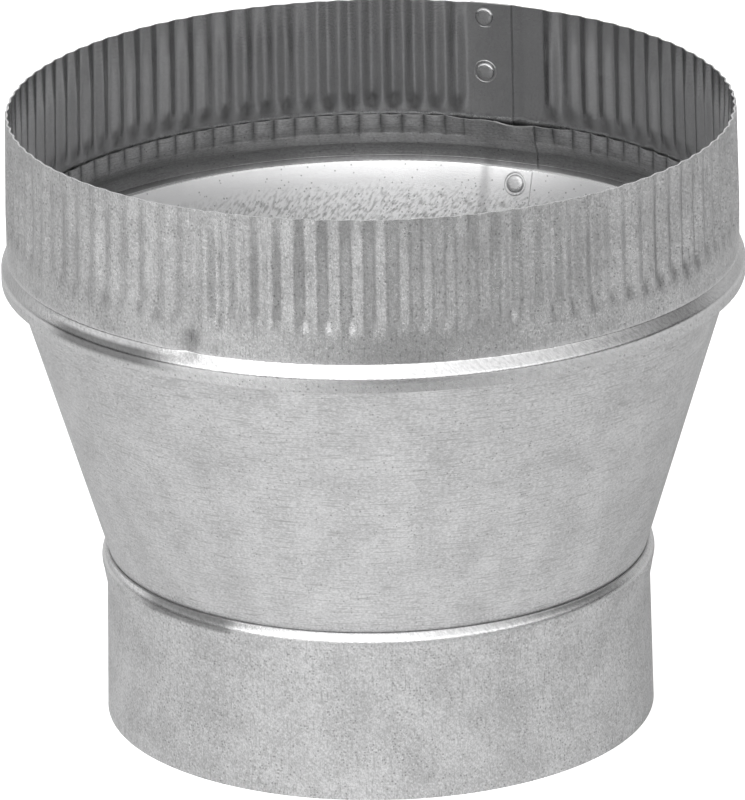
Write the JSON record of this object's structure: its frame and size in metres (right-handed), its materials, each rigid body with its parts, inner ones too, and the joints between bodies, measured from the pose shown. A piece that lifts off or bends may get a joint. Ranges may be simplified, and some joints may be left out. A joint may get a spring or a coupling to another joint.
{
  "type": "duct reducer",
  "caption": "Round sheet-metal duct reducer: a cone between a plain small collar and a crimped large collar, joined by rolled beads.",
  "frame": {"origin": "on the duct axis, in the plane of the plain end's edge, which it stands on", "axes": "+Z along the duct axis from the plain end to the crimped end, +Y towards the lapped seams at the back"},
  "size_m": [0.2062, 0.2062, 0.175],
  "materials": {
    "plain_collar_sheet": "galvanised, fine dull spangle",
    "tapered_body_sheet": "galvanised, fine dull spangle, burnished bead",
    "crimped_collar_sheet": "galvanised, fine dull spangle, rolled crimps"
  },
  "bodies": {
    "root": {"plain_collar": "plain_collar_sheet", "tapered_body": "tapered_body_sheet", "crimped_collar": "crimped_collar_sheet"}
  },
  "joints": []
}
